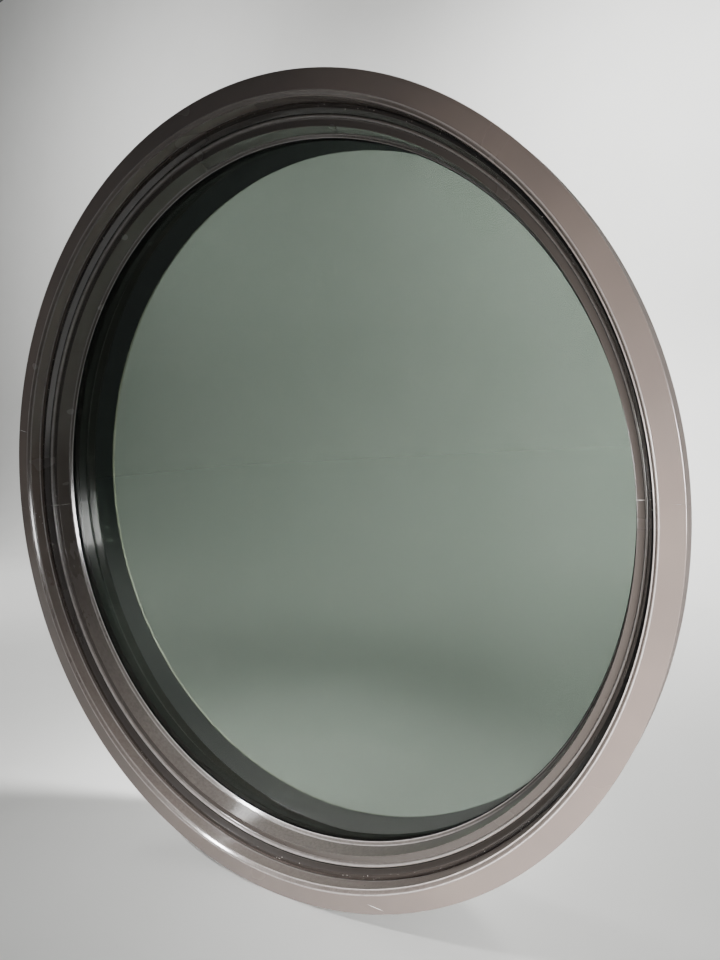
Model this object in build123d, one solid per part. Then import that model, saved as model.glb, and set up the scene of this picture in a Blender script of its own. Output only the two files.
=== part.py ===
"""Large round fixed window: bent aluminium casing and covers on a laminated wood frame with double glazing.

Millimetres. The Y axis is the ring's axis and points into the room, Z is up, and X is to the right seen from
outdoors. The origin is the ring's centre in the plane where the fixing tabs lie on the wall.
Section points are a radius and a depth behind the flat outdoor face of the casing.
"""

from build123d import *
import os
from math import cos, hypot, pi, radians, sin

# Casing: the flat outdoor ring and the return that faces the glass. Radii follow from this one inwards.
CASING_RADIUS = 960.0
CASING_FACE_WIDTH = 44.5
CASING_BEVEL_WIDTH = 7.5
CASING_BEVEL_DEPTH = 9.0
CASING_RETURN_TAPER = 2.5
CASING_RETURN_DEPTH = 29.0
CASING_FOOT_SETBACK = 3.0
CASING_SIDE_DEPTH = 46.0
CASING_WALL = 1.8

# Frame cover: the flange behind the casing and the sloped channel beside it.
COVER_WALL = 1.6
GROOVE_WIDTH = 9.1
GROOVE_DEPTH = 8.5
CHANNEL_WIDTH = 6.8
CHANNEL_DEPTH = 13.5

# Glazing cover: rounded shoulder, narrow face, deep return and the lip at the glass.
COVER_JOINT_WIDTH = 1.0
COVER_JOINT_DEPTH = 0.8
SHOULDER_WIDTH = 6.5
SHOULDER_DEPTH = 8.6
FACE_WIDTH = 15.0
FACE_SLOPE = 1.4
RETURN_TAPER = 4.4
RETURN_DEPTH = 40.3
LIP_WIDTH = 5.6
LIP_DEPTH = 9.3

# Double glazing and what beds it.
GLASS_BITE = 15.9
PANE_THICKNESS = 6.0
CAVITY = 16.0
SPACER_WIDTH = 13.0
GASKET_THICKNESS = 1.6
GASKET_WIDTH = 13.0
EDGE_CLEARANCE = 5.0
BLOCK_LENGTH = 100.0
EDGE_BLOCK_LENGTH = 60.0
BLOCK_SETBACK = 1.0
SETTING_BLOCK_ANGLES = (-60.0, -120.0)
EDGE_BLOCK_ANGLES = (0.0, 60.0, 120.0, 180.0)

# Wood frame, which is also the dark reveal on the room side.
FRAME_THICKNESS = 40.0
REVEAL_DEPTH = 120.0
COVER_CAVITY = 3.0
TONGUE_LENGTH = 40.0
TONGUE_THICKNESS = 6.0
TONGUE_SETBACK = 15.0
TONGUE_END_MARGIN = 47.0

# Room-side bead that holds the glass, and the light interior casing.
BEAD_DEPTH = 22.0
BEAD_SETBACK = 1.9
BEAD_SLOPE = 7.0
TRIM_SETBACK = 5.0
TRIM_THICKNESS = 12.0

# Fixing tabs in slots of the frame, and how far behind the casing's side they lie on the wall.
SEAT_SETBACK = 24.0
TAB_COUNT = 8
TAB_WIDTH = 80.0
TAB_THICKNESS = 1.6
TAB_SLOT_DEPTH = 10.0
TAB_REACH = 34.0
TAB_HOLE_SETBACK = 20.0
TAB_HOLE_RADIUS = 2.5

# Splice keys behind the joints at 3 and 9 o'clock, and the clips that hold the casing.
KEY_LENGTH = 90.0
CASING_KEY_THICKNESS = 2.4
CASING_KEY_WIDTH = 28.0
CASING_KEY_MARGIN = 8.0
COVER_KEY_THICKNESS = 2.0
FRAME_KEY_WIDTH = 11.0
GLAZING_KEY_WIDTH = 9.0
COVER_KEY_MARGIN = 3.0
CLIP_COUNT = 12
CLIP_WIDTH = 30.0
CLIP_WALL = 1.4
CLIP_FLANGE = 7.0
CLIP_HEIGHT = 12.0
CLIP_CLEARANCE = 0.2

# Radii that follow from the sizes above, from the outside inwards.
CASING_INNER_RADIUS = CASING_RADIUS - CASING_FACE_WIDTH
CASING_BEVEL_RADIUS = CASING_INNER_RADIUS - CASING_BEVEL_WIDTH
CASING_NOSE_RADIUS = CASING_BEVEL_RADIUS - CASING_RETURN_TAPER
CASING_FOOT_RADIUS = CASING_NOSE_RADIUS + CASING_FOOT_SETBACK
FRAME_EDGE_RADIUS = CASING_NOSE_RADIUS - GROOVE_WIDTH
FRAME_LIP_RADIUS = FRAME_EDGE_RADIUS - CHANNEL_WIDTH
SHOULDER_RADIUS = FRAME_LIP_RADIUS - COVER_JOINT_WIDTH
FACE_OUTER_RADIUS = SHOULDER_RADIUS - SHOULDER_WIDTH
FACE_INNER_RADIUS = FACE_OUTER_RADIUS - FACE_WIDTH
RETURN_END_RADIUS = FACE_INNER_RADIUS - RETURN_TAPER
SIGHT_RADIUS = RETURN_END_RADIUS - LIP_WIDTH
PANE_RADIUS = SIGHT_RADIUS + GLASS_BITE
REVEAL_RADIUS = PANE_RADIUS + EDGE_CLEARANCE
FRAME_OUTER_RADIUS = REVEAL_RADIUS + FRAME_THICKNESS
BEAD_RADIUS = SIGHT_RADIUS + BEAD_SETBACK
TAB_OUTER_RADIUS = FRAME_OUTER_RADIUS + TAB_REACH
TAB_HOLE_PLACE = FRAME_OUTER_RADIUS + TAB_HOLE_SETBACK

# Depths behind the casing's face that follow, from the front backwards.
CASING_NOSE_DEPTH = CASING_BEVEL_DEPTH + CASING_RETURN_DEPTH
FRAME_FACE_DEPTH = CASING_NOSE_DEPTH + GROOVE_DEPTH
FRAME_LIP_DEPTH = FRAME_FACE_DEPTH + CHANNEL_DEPTH
SHOULDER_START_DEPTH = FRAME_LIP_DEPTH + COVER_JOINT_DEPTH
FACE_DEPTH = SHOULDER_START_DEPTH + SHOULDER_DEPTH
FACE_INNER_DEPTH = FACE_DEPTH + FACE_SLOPE
COVER_BACK_DEPTH = FACE_INNER_DEPTH + COVER_WALL + COVER_CAVITY
RETURN_END_DEPTH = FACE_INNER_DEPTH + RETURN_DEPTH
REBATE_DEPTH = RETURN_END_DEPTH + LIP_DEPTH
GLASS_DEPTH = REBATE_DEPTH + GASKET_THICKNESS
CAVITY_DEPTH = GLASS_DEPTH + PANE_THICKNESS
INNER_PANE_DEPTH = CAVITY_DEPTH + CAVITY
GLASS_BACK_DEPTH = INNER_PANE_DEPTH + PANE_THICKNESS
BEAD_BACK_DEPTH = GLASS_BACK_DEPTH + BEAD_DEPTH
FRAME_BACK_DEPTH = BEAD_BACK_DEPTH + REVEAL_DEPTH
SEAT_DEPTH = CASING_SIDE_DEPTH + SEAT_SETBACK
TAB_FRONT_DEPTH = SEAT_DEPTH - TAB_THICKNESS


def at(radius: float, depth: float) -> tuple[float, float]:
    """Place one section point, with the origin in the plane of the fixing tabs."""
    return (radius, depth - SEAT_DEPTH)


def solid_section(*points: tuple[float, float]) -> Face:
    """Close a section through its corners, each a radius and a depth."""
    return make_face(Polyline(*[at(*point) for point in points], close=True))


def bar_section(inner: float, outer: float, front: float, back: float) -> Face:
    """Make the section of a plain ring between two radii and two depths."""
    return solid_section((inner, front), (outer, front), (outer, back), (inner, back))


def folded_section(wall: float, *points: tuple[float, float]) -> Face:
    """Make the section of a rolled strip from its seen side, given from the outer edge to the inner one."""
    seen_side = Polyline(*[at(*point) for point in points])
    return make_face(offset(seen_side, wall, kind=Kind.INTERSECTION, side=Side.RIGHT).edges())


def back_radius(
    start: tuple[float, float], end: tuple[float, float], wall: float, depth: float
) -> float:
    """Find the radius at a depth on the hidden side of a strip between two section points."""
    run = end[0] - start[0]
    drop = end[1] - start[1]
    return start[0] + (depth - start[1]) * run / drop + wall * hypot(run, drop) / drop


def turned(profile: Face) -> Part:
    """Revolve a section into a whole ring."""
    return revolve(profile, axis=Axis.Y)


def halves(profile: Face, joint_angle: float) -> tuple[Part, Part]:
    """Revolve a section into two half rings that meet at joint_angle and opposite it."""
    half = revolve(profile, axis=Axis.Y, revolution_arc=180)
    return Rot(0, 180 - joint_angle, 0) * half, Rot(0, -joint_angle, 0) * half


def arc_piece(profile: Face, angle: float, length: float, radius: float) -> Part:
    """Revolve a section over a short arc of a given length, centred on a clock angle."""
    arc = length / radius * 180 / pi
    return Rot(0, -angle - arc / 2, 0) * revolve(profile, axis=Axis.Y, revolution_arc=arc)


def block(inner: float, outer: float, front: float, back: float, width: float, angle: float) -> Part:
    """Make a straight-sided block lying along a radius, centred on a clock angle."""
    middle_radius, middle_depth = at((inner + outer) / 2, (front + back) / 2)
    shape = Pos(middle_radius, middle_depth, 0) * Box(outer - inner, back - front, width)
    return Rot(0, -angle, 0) * shape


def spread(count: int, offset_angle: float) -> list[float]:
    """List the clock angles of evenly spaced pieces, in degrees from 3 o'clock."""
    return [offset_angle + 360 * index / count for index in range(count)]


def casing() -> tuple[Part, Part]:
    """Make the outdoor casing: side, flat face, bevel, tapered return and the foot behind its nose."""
    profile = folded_section(
        CASING_WALL,
        (CASING_RADIUS, CASING_SIDE_DEPTH),
        (CASING_RADIUS, 0),
        (CASING_INNER_RADIUS, 0),
        (CASING_BEVEL_RADIUS, CASING_BEVEL_DEPTH),
        (CASING_NOSE_RADIUS, CASING_NOSE_DEPTH),
        (CASING_FOOT_RADIUS, FRAME_FACE_DEPTH),
    )
    behind_frame = Rectangle(CASING_FACE_WIDTH, CASING_WALL * 4, align=(Align.MIN, Align.MIN))
    profile -= Pos(*at(CASING_NOSE_RADIUS, FRAME_FACE_DEPTH)) * behind_frame
    return halves(profile, 0)


def frame_cover() -> tuple[Part, Part]:
    """Make the cover of the frame's front: a flange and the sloped channel."""
    profile = folded_section(
        COVER_WALL,
        (FRAME_OUTER_RADIUS, FRAME_FACE_DEPTH),
        (FRAME_EDGE_RADIUS, FRAME_FACE_DEPTH),
        (FRAME_LIP_RADIUS, FRAME_LIP_DEPTH),
    )
    return halves(profile, 0)


def glazing_cover() -> tuple[Part, Part]:
    """Make the cover beside the glass: shoulder, narrow face, deep return and lip."""
    profile = folded_section(
        COVER_WALL,
        (SHOULDER_RADIUS, SHOULDER_START_DEPTH),
        (FACE_OUTER_RADIUS, FACE_DEPTH),
        (FACE_INNER_RADIUS, FACE_INNER_DEPTH),
        (RETURN_END_RADIUS, RETURN_END_DEPTH),
        (SIGHT_RADIUS, REBATE_DEPTH),
    )
    behind_rebate = Rectangle(GLASS_BITE, COVER_WALL * 2, align=(Align.MIN, Align.MIN))
    profile -= Pos(*at(SIGHT_RADIUS, REBATE_DEPTH)) * behind_rebate
    return halves(profile, 0)


def wood_frame() -> tuple[Part, Part]:
    """Make the laminated wood frame, whose front backs the covers and the lip, with its slots and pockets."""
    channel = ((FRAME_EDGE_RADIUS, FRAME_FACE_DEPTH), (FRAME_LIP_RADIUS, FRAME_LIP_DEPTH))
    glass_return = ((FACE_INNER_RADIUS, FACE_INNER_DEPTH), (RETURN_END_RADIUS, RETURN_END_DEPTH))
    lip = ((RETURN_END_RADIUS, RETURN_END_DEPTH), (SIGHT_RADIUS, REBATE_DEPTH))
    front_depth = FRAME_FACE_DEPTH + COVER_WALL
    lip_start_depth = RETURN_END_DEPTH + COVER_WALL
    profile = solid_section(
        (FRAME_OUTER_RADIUS, front_depth),
        (back_radius(*channel, COVER_WALL, front_depth), front_depth),
        (back_radius(*channel, COVER_WALL, COVER_BACK_DEPTH), COVER_BACK_DEPTH),
        (back_radius(*glass_return, COVER_WALL, COVER_BACK_DEPTH), COVER_BACK_DEPTH),
        (back_radius(*glass_return, COVER_WALL, lip_start_depth), lip_start_depth),
        (back_radius(*lip, COVER_WALL, REBATE_DEPTH), REBATE_DEPTH),
        (REVEAL_RADIUS, REBATE_DEPTH),
        (REVEAL_RADIUS, FRAME_BACK_DEPTH),
        (FRAME_OUTER_RADIUS, FRAME_BACK_DEPTH),
    )
    cuts = [*fixing_slots(), *frame_keys(), *tongues()]
    return tuple(half - cuts for half in halves(profile, 90))


def fixing_slots() -> list[Part]:
    """Make the slots of the fixing tabs."""
    inner = FRAME_OUTER_RADIUS - TAB_SLOT_DEPTH
    return [
        block(inner, TAB_OUTER_RADIUS, TAB_FRONT_DEPTH, SEAT_DEPTH, TAB_WIDTH, angle)
        for angle in spread(TAB_COUNT, 180 / TAB_COUNT)
    ]


def fixing_tabs() -> list[Part]:
    """Make the steel tabs that stand in the frame's slots, each with its screw hole."""
    screw_hole = Rot(90, 0, 0) * Cylinder(TAB_HOLE_RADIUS, SEAT_DEPTH)
    tabs = []
    for tab, angle in zip(fixing_slots(), spread(TAB_COUNT, 180 / TAB_COUNT)):
        place = (TAB_HOLE_PLACE * cos(radians(angle)), 0, TAB_HOLE_PLACE * sin(radians(angle)))
        tabs.append(tab - Pos(*place) * screw_hole)
    return tabs


def tongues() -> list[Part]:
    """Make the loose tongues that join the two halves of the wood frame."""
    inner = REVEAL_RADIUS + TONGUE_SETBACK
    back = FRAME_BACK_DEPTH - TONGUE_END_MARGIN
    return [
        block(inner, inner + TONGUE_THICKNESS, BEAD_BACK_DEPTH, back, TONGUE_LENGTH, angle)
        for angle in (90, -90)
    ]


def glass_pane(front_depth: float) -> Part:
    """Make one round pane."""
    return turned(bar_section(0, PANE_RADIUS, front_depth, front_depth + PANE_THICKNESS))


def spacer() -> Part:
    """Make the foam spacer that seals the edge of the double glazing."""
    return turned(bar_section(PANE_RADIUS - SPACER_WIDTH, PANE_RADIUS, CAVITY_DEPTH, INNER_PANE_DEPTH))


def gasket() -> Part:
    """Make the black gasket between the rebate and the outer pane."""
    return turned(bar_section(SIGHT_RADIUS, SIGHT_RADIUS + GASKET_WIDTH, REBATE_DEPTH, GLASS_DEPTH))


def glazing_blocks(length: float, angles: tuple[float, ...]) -> list[Part]:
    """Make the blocks that hold the edge of the glass off the frame."""
    profile = bar_section(
        PANE_RADIUS, REVEAL_RADIUS, GLASS_DEPTH + BLOCK_SETBACK, GLASS_BACK_DEPTH - BLOCK_SETBACK
    )
    return [arc_piece(profile, angle, length, REVEAL_RADIUS) for angle in angles]


def glazing_bead() -> tuple[Part, Part]:
    """Make the sloped wood bead that holds the glass from the room side."""
    profile = solid_section(
        (REVEAL_RADIUS, GLASS_BACK_DEPTH),
        (BEAD_RADIUS, GLASS_BACK_DEPTH),
        (BEAD_RADIUS + BEAD_SLOPE, BEAD_BACK_DEPTH),
        (REVEAL_RADIUS, BEAD_BACK_DEPTH),
    )
    return halves(profile, 0)


def interior_casing() -> tuple[Part, Part]:
    """Make the light interior casing around the end of the reveal."""
    inner = REVEAL_RADIUS + TRIM_SETBACK
    profile = bar_section(inner, FRAME_OUTER_RADIUS, FRAME_BACK_DEPTH, FRAME_BACK_DEPTH + TRIM_THICKNESS)
    return halves(profile, 0)


def joint_keys(inner: float, width: float, front: float, thickness: float) -> list[Part]:
    """Make the two splice keys behind the joints at 3 and 9 o'clock."""
    profile = bar_section(inner, inner + width, front, front + thickness)
    return [arc_piece(profile, angle, KEY_LENGTH, inner) for angle in (0, 180)]


def casing_keys() -> list[Part]:
    """Make the keys behind the casing's face."""
    inner = CASING_INNER_RADIUS + CASING_KEY_MARGIN
    return joint_keys(inner, CASING_KEY_WIDTH, CASING_WALL, CASING_KEY_THICKNESS)


def frame_keys() -> list[Part]:
    """Make the keys behind the flange of the frame cover, let into the wood."""
    inner = FRAME_OUTER_RADIUS - COVER_KEY_MARGIN - FRAME_KEY_WIDTH
    return joint_keys(inner, FRAME_KEY_WIDTH, FRAME_FACE_DEPTH + COVER_WALL, COVER_KEY_THICKNESS)


def glazing_keys() -> list[Part]:
    """Make the keys between the glazing cover's face and the wood."""
    inner = FACE_INNER_RADIUS + COVER_KEY_MARGIN
    return joint_keys(inner, GLAZING_KEY_WIDTH, COVER_BACK_DEPTH - COVER_CAVITY, COVER_CAVITY)


def casing_clips() -> list[Part]:
    """Make the angle clips on the frame cover's flange that hold the casing's foot."""
    inner = CASING_FOOT_RADIUS + CASING_WALL * hypot(
        CASING_FOOT_SETBACK, FRAME_FACE_DEPTH - CASING_NOSE_DEPTH
    ) / (FRAME_FACE_DEPTH - CASING_NOSE_DEPTH) + CLIP_CLEARANCE
    clips = []
    for angle in spread(CLIP_COUNT, 180 / CLIP_COUNT):
        upright = block(
            inner, inner + CLIP_WALL, FRAME_FACE_DEPTH - CLIP_HEIGHT, FRAME_FACE_DEPTH, CLIP_WIDTH, angle
        )
        flange = block(
            inner, inner + CLIP_FLANGE, FRAME_FACE_DEPTH - CLIP_WALL, FRAME_FACE_DEPTH, CLIP_WIDTH, angle
        )
        clips.append(upright + flange)
    return clips


def save(name: str, solids: Part | list[Part]) -> None:
    """Write one node's solids as a STEP file."""
    shape = Compound(solids) if isinstance(solids, list) else solids
    export_step(shape, f"parts/{name}.step")


def save_pair(names: tuple[str, str], pair: tuple[Part, Part]) -> None:
    """Write two half rings under their own names."""
    for name, half in zip(names, pair):
        save(name, half)


def main() -> None:
    """Build every piece and write it."""
    os.makedirs("parts", exist_ok=True)
    save_pair(("casing_upper", "casing_lower"), casing())
    save_pair(("frame_cover_upper", "frame_cover_lower"), frame_cover())
    save_pair(("glazing_cover_upper", "glazing_cover_lower"), glazing_cover())
    save_pair(("wood_frame_left", "wood_frame_right"), wood_frame())
    save_pair(("glazing_bead_upper", "glazing_bead_lower"), glazing_bead())
    save_pair(("interior_casing_upper", "interior_casing_lower"), interior_casing())
    save("outer_pane", glass_pane(GLASS_DEPTH))
    save("inner_pane", glass_pane(INNER_PANE_DEPTH))
    save("glazing_spacer", spacer())
    save("glazing_gasket", gasket())
    save("setting_blocks", glazing_blocks(BLOCK_LENGTH, SETTING_BLOCK_ANGLES))
    save("edge_blocks", glazing_blocks(EDGE_BLOCK_LENGTH, EDGE_BLOCK_ANGLES))
    save("fixing_tabs", fixing_tabs())
    save("frame_tongues", tongues())
    save("casing_keys", casing_keys())
    save("frame_cover_keys", frame_keys())
    save("glazing_cover_keys", glazing_keys())
    save("casing_clips", casing_clips())


main()
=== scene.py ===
"""Looks for the large round fixed window: fine rolled sections, powder coat, dark paint, glass and site dirt.

The CAD nodes are the frame. Rings that are seen are swept again here with their beads, quirks and rounded
edges, at the same places. Hidden pieces stay as CAD nodes and only take their finishes. Units are metres,
and Y runs into the room.
"""

import logging
import math
from dataclasses import dataclass, field
from enum import Enum

import bpy
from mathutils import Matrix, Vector

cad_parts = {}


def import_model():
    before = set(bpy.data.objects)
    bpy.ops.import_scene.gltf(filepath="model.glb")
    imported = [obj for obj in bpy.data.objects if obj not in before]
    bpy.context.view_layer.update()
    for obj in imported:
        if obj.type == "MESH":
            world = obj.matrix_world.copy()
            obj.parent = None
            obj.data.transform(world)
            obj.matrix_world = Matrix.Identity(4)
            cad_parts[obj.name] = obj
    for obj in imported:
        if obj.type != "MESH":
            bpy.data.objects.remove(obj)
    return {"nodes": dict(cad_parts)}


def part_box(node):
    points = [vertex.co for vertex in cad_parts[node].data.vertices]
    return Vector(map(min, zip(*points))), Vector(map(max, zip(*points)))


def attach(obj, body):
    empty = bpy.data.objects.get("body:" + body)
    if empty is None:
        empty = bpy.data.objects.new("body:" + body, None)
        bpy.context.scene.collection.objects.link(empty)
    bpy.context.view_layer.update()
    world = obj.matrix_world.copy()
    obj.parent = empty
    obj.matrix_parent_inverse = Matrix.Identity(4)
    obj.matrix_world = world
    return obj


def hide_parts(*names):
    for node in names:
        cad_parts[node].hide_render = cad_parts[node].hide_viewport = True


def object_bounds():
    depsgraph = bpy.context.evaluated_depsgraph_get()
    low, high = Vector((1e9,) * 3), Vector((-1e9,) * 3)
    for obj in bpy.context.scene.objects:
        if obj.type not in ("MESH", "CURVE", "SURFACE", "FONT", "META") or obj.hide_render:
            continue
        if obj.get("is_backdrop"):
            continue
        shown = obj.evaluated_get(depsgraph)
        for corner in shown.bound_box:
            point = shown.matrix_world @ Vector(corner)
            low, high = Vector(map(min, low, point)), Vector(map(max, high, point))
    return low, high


LOG = logging.getLogger("round_window")
BODY = "root"
MM = 0.001

# What feeds a node's input: a socket, or a node, which stands for the first output that it shows.
Feed = bpy.types.Node | bpy.types.NodeSocket
Point = tuple[float, float, float]


class Half(Enum):
    """Where a swept arc starts, in degrees from 3 o'clock, and how far it runs."""

    UPPER = (0.0, 180.0)
    LOWER = (180.0, 180.0)
    LEFT = (90.0, 180.0)
    RIGHT = (270.0, 180.0)
    WHOLE = (0.0, 360.0)


def linear(hex_colour: str) -> tuple[float, float, float, float]:
    """Turn an sRGB hex colour into linear values.

    Args:
        hex_colour: Six hex digits, such as "6f6661".

    Returns:
        Linear red, green and blue with an alpha of 1.
    """
    channels = [int(hex_colour[i : i + 2], 16) / 255 for i in (0, 2, 4)]
    lin = [c / 12.92 if c <= 0.04045 else ((c + 0.055) / 1.055) ** 2.4 for c in channels]
    return (*lin, 1.0)


class Graph:
    """One node tree, with the one function that adds its nodes."""

    def __init__(self, tree: bpy.types.NodeTree) -> None:
        """Keep the tree that nodes are added to."""
        self.tree = tree

    def add(self, kind: str, inputs: dict | tuple = (), **settings: object) -> bpy.types.Node:
        """Add one node with its settings and links.

        Args:
            kind: The node's type name.
            inputs: What the inputs take, by name or index, or as a tuple in the order of the inputs that the
                node shows. A socket or a node is linked, and anything else is the input's own value.
            **settings: Properties of the node itself.

        Returns:
            The new node.
        """
        node = self.tree.nodes.new(kind)
        for name, value in settings.items():
            setattr(node, name, value)
        if isinstance(inputs, tuple):
            taken = zip([socket for socket in node.inputs if socket.enabled], inputs)
        else:
            taken = [(node.inputs[key], value) for key, value in inputs.items()]
        for socket, value in taken:
            if isinstance(value, bpy.types.Node):
                value = next(output for output in value.outputs if output.enabled)
            if isinstance(value, bpy.types.NodeSocket):
                self.tree.links.new(value, socket)
            else:
                socket.default_value = value
        return node


def overlap(graph: Graph, first: Feed, *others: Feed | float) -> Feed:
    """Multiply shares, which leaves what lies where all of them apply.

    Args:
        graph: The material's graph.
        first: A share.
        *others: More shares, or a plain strength.

    Returns:
        Their product.
    """
    for other in others:
        first = graph.add("ShaderNodeMath", (first, other), operation="MULTIPLY")
    return first


@dataclass(frozen=True)
class Spot:
    """Where a point of the paint lies on the ring, and how far it looks up, as feeds for the masks."""

    coords: Feed
    radius: Feed
    depth: Feed
    height: Feed
    up: Feed

    @classmethod
    def read(cls, graph: Graph, coords: Feed) -> "Spot":
        """Add the nodes that read the place.

        Args:
            graph: The material's graph.
            coords: Object coordinates.

        Returns:
            The feeds, in metres, and the normal's upward share.
        """
        flat = graph.add("ShaderNodeVectorMath", (coords, (1.0, 0.0, 1.0)), operation="MULTIPLY")
        radius = graph.add("ShaderNodeVectorMath", (flat,), operation="LENGTH")
        place = graph.add("ShaderNodeSeparateXYZ", (coords,)).outputs
        normal = graph.add("ShaderNodeNewGeometry").outputs["Normal"]
        up = graph.add("ShaderNodeSeparateXYZ", (normal,)).outputs["Z"]
        return cls(coords, radius, place["Y"], place["Z"], up)


@dataclass(frozen=True)
class Mark:
    """One small scuff, chip or speck on the paint: an ellipse at a place on the ring.

    The clock angle counts in degrees from 3 o'clock, and depth is the place along Y. The half length runs
    away from the axis and in depth, and the half width along the ring, unless the turn in degrees tilts them.
    """

    clock: float
    radius: float
    depth: float
    length: float
    width: float
    turn: float = 0.0

    def mask(self, graph: Graph, spot: Spot) -> Feed:
        """Build the mark's mask, solid in the middle and faded just past its edge.

        Args:
            graph: The material's graph.
            spot: The place on the paint.

        Returns:
            The mask, 1 inside and 0 outside.
        """
        angle = math.radians(self.clock)
        place = (self.radius * math.cos(angle), self.depth, self.radius * math.sin(angle))
        local = graph.add(
            "ShaderNodeMapping",
            {
                "Vector": spot.coords,
                "Location": place,
                "Rotation": (0, -angle - math.radians(self.turn), 0),
                "Scale": (self.length, self.length, self.width),
            },
            vector_type="TEXTURE",
        )
        reach = graph.add("ShaderNodeVectorMath", (local,), operation="LENGTH")
        return graph.add("ShaderNodeMapRange", (reach, 0.6, 1.1, 1.0, 0.0))


@dataclass(frozen=True)
class Band:
    """A stripe all round the ring: a painted highlight along an edge, or painted shade in an inner corner."""

    radius: float
    depth: float
    reach: float
    strength: float

    def mask(self, graph: Graph, spot: Spot) -> Feed:
        """Build the stripe's mask from the distance to its centre line; its outer half fades out.

        Args:
            graph: The material's graph.
            spot: The place on the paint.

        Returns:
            The mask, up to the stripe's strength.
        """
        across = graph.add("ShaderNodeMath", (spot.radius, self.radius), operation="SUBTRACT")
        deep = graph.add("ShaderNodeMath", (spot.depth, self.depth), operation="SUBTRACT")
        away = graph.add("ShaderNodeCombineXYZ", (across, deep))
        distance = graph.add("ShaderNodeVectorMath", (away,), operation="LENGTH")
        return graph.add("ShaderNodeMapRange", (distance, self.reach * 0.55, self.reach, self.strength, 0.0))


@dataclass(frozen=True)
class Zone:
    """A stretch of the section with soft limits: beyond a radius, within one, behind a depth, or several."""

    inner: float | None = None
    outer: float | None = None
    front: float | None = None
    soft: float = 0.0005
    soft_depth: float = 0.001

    def mask(self, graph: Graph, spot: Spot) -> Feed:
        """Build the zone's mask.

        Args:
            graph: The material's graph.
            spot: The place on the paint.

        Returns:
            The mask, 1 in the zone and 0 outside.
        """
        limits = (
            (spot.radius, self.inner, self.soft, 0.0, 1.0),
            (spot.radius, self.outer, self.soft, 1.0, 0.0),
            (spot.depth, self.front, self.soft_depth, 0.0, 1.0),
        )
        steps = [
            graph.add("ShaderNodeMapRange", (place, limit - soft, limit + soft, before, past))
            for place, limit, soft, before, past in limits
            if limit is not None
        ]
        return overlap(graph, *steps)


@dataclass(frozen=True)
class Mottle:
    """An uneven pattern of a real size: noise whose values between two levels become a share."""

    size: float
    detail: float
    low: float
    high: float
    least: float = 0.0
    most: float = 1.0

    def share(self, graph: Graph, coords: Feed) -> Feed:
        """Build the pattern.

        Args:
            graph: The material's graph.
            coords: The coordinates that it follows.

        Returns:
            The share, from the least to the most.
        """
        pattern = {"Vector": coords, "Scale": 1 / self.size, "Detail": self.detail}
        grain = graph.add("ShaderNodeTexNoise", pattern)
        return graph.add("ShaderNodeMapRange", (grain, self.low, self.high, self.least, self.most))


# Chips and scuffs of the paint, and the fine lines of the covers' joints at 3 and 9 o'clock, in metres.
CHIPS = (
    Mark(165.3, 0.940, -0.070, 0.021, 0.0006),
    Mark(287.9, 0.944, -0.070, 0.021, 0.0007, turn=70),
    Mark(1.1, 0.9055, -0.032, 0.0016, 0.0012),
    Mark(359.5, 0.9052, -0.031, 0.0014, 0.0011),
    Mark(0.6, 0.9120, -0.062, 0.0020, 0.0009),
    Mark(181.2, 0.9080, -0.055, 0.0020, 0.0007),
    Mark(182.0, 0.9070, -0.045, 0.0014, 0.0016),
    Mark(183.3, 0.9060, -0.038, 0.0012, 0.0012),
    Mark(180.0, 0.8800, -0.004, 0.0150, 0.0005),
    Mark(180.0, 0.8650, 0.020, 0.0200, 0.0004),
    Mark(0.0, 0.8750, -0.002, 0.0100, 0.0005),
    Mark(0.9, 0.8620, 0.041, 0.0012, 0.0012),
    Mark(311.8, 0.8810, -0.009, 0.0014, 0.0014),
    Mark(68.7, 0.8955, -0.0235, 0.0020, 0.0010),
    Mark(277.4, 0.8580, 0.045, 0.0016, 0.0016),
    Mark(268.7, 0.8960, -0.0235, 0.0014, 0.0018),
    Mark(272.3, 0.8960, -0.0235, 0.0014, 0.0018),
)
# Small dark pits in the covers beside the glass.
PITS = (
    Mark(270.3, 0.8860, -0.008, 0.0016, 0.0022),
    Mark(271.0, 0.8850, -0.006, 0.0012, 0.0012),
    Mark(179.7, 0.8630, 0.039, 0.0025, 0.0012),
)
# Painted highlights along the edges, from the casing's face inwards to the lip at the glass.
EDGE_HIGHLIGHTS = (
    Band(0.9165, -0.0702, 0.0022, 0.45),
    Band(0.9088, -0.0612, 0.0022, 0.45),
    Band(0.9054, -0.0328, 0.0032, 0.85),
    Band(0.8945, -0.0215, 0.0030, 0.18),
    Band(0.8848, -0.0062, 0.0040, 0.35),
    Band(0.8625, 0.0410, 0.0024, 0.35),
    Band(0.8572, 0.0495, 0.0026, 0.7),
)
# Painted shade in the inner corners, in the same order.
CORNER_SHADE = (
    Band(0.9122, -0.0658, 0.0032, 0.45),
    Band(0.9010, -0.0235, 0.0060, 0.7),
    Band(0.8900, -0.0105, 0.0026, 0.6),
    Band(0.8600, 0.0455, 0.0026, 0.5),
)


class Finish:
    """What all finishes share: a named material with one Principled shader."""

    name = "finish"

    def material(self) -> bpy.types.Material:
        """Build the material.

        Returns:
            The new material.
        """
        made = bpy.data.materials.new(self.name)
        made.use_nodes = True
        made.node_tree.nodes.clear()
        graph = Graph(made.node_tree)
        coords = graph.add("ShaderNodeTexCoord").outputs["Object"]
        shader = graph.add("ShaderNodeBsdfPrincipled", self.surface(graph, coords))
        graph.add("ShaderNodeOutputMaterial", {"Surface": shader})
        return made

    def surface(self, graph: Graph, coords: Feed) -> dict[str, object]:
        """Add the finish's own nodes.

        Args:
            graph: The material's graph.
            coords: Object coordinates.

        Returns:
            What the shader's inputs take, by their names.
        """
        raise NotImplementedError


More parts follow.
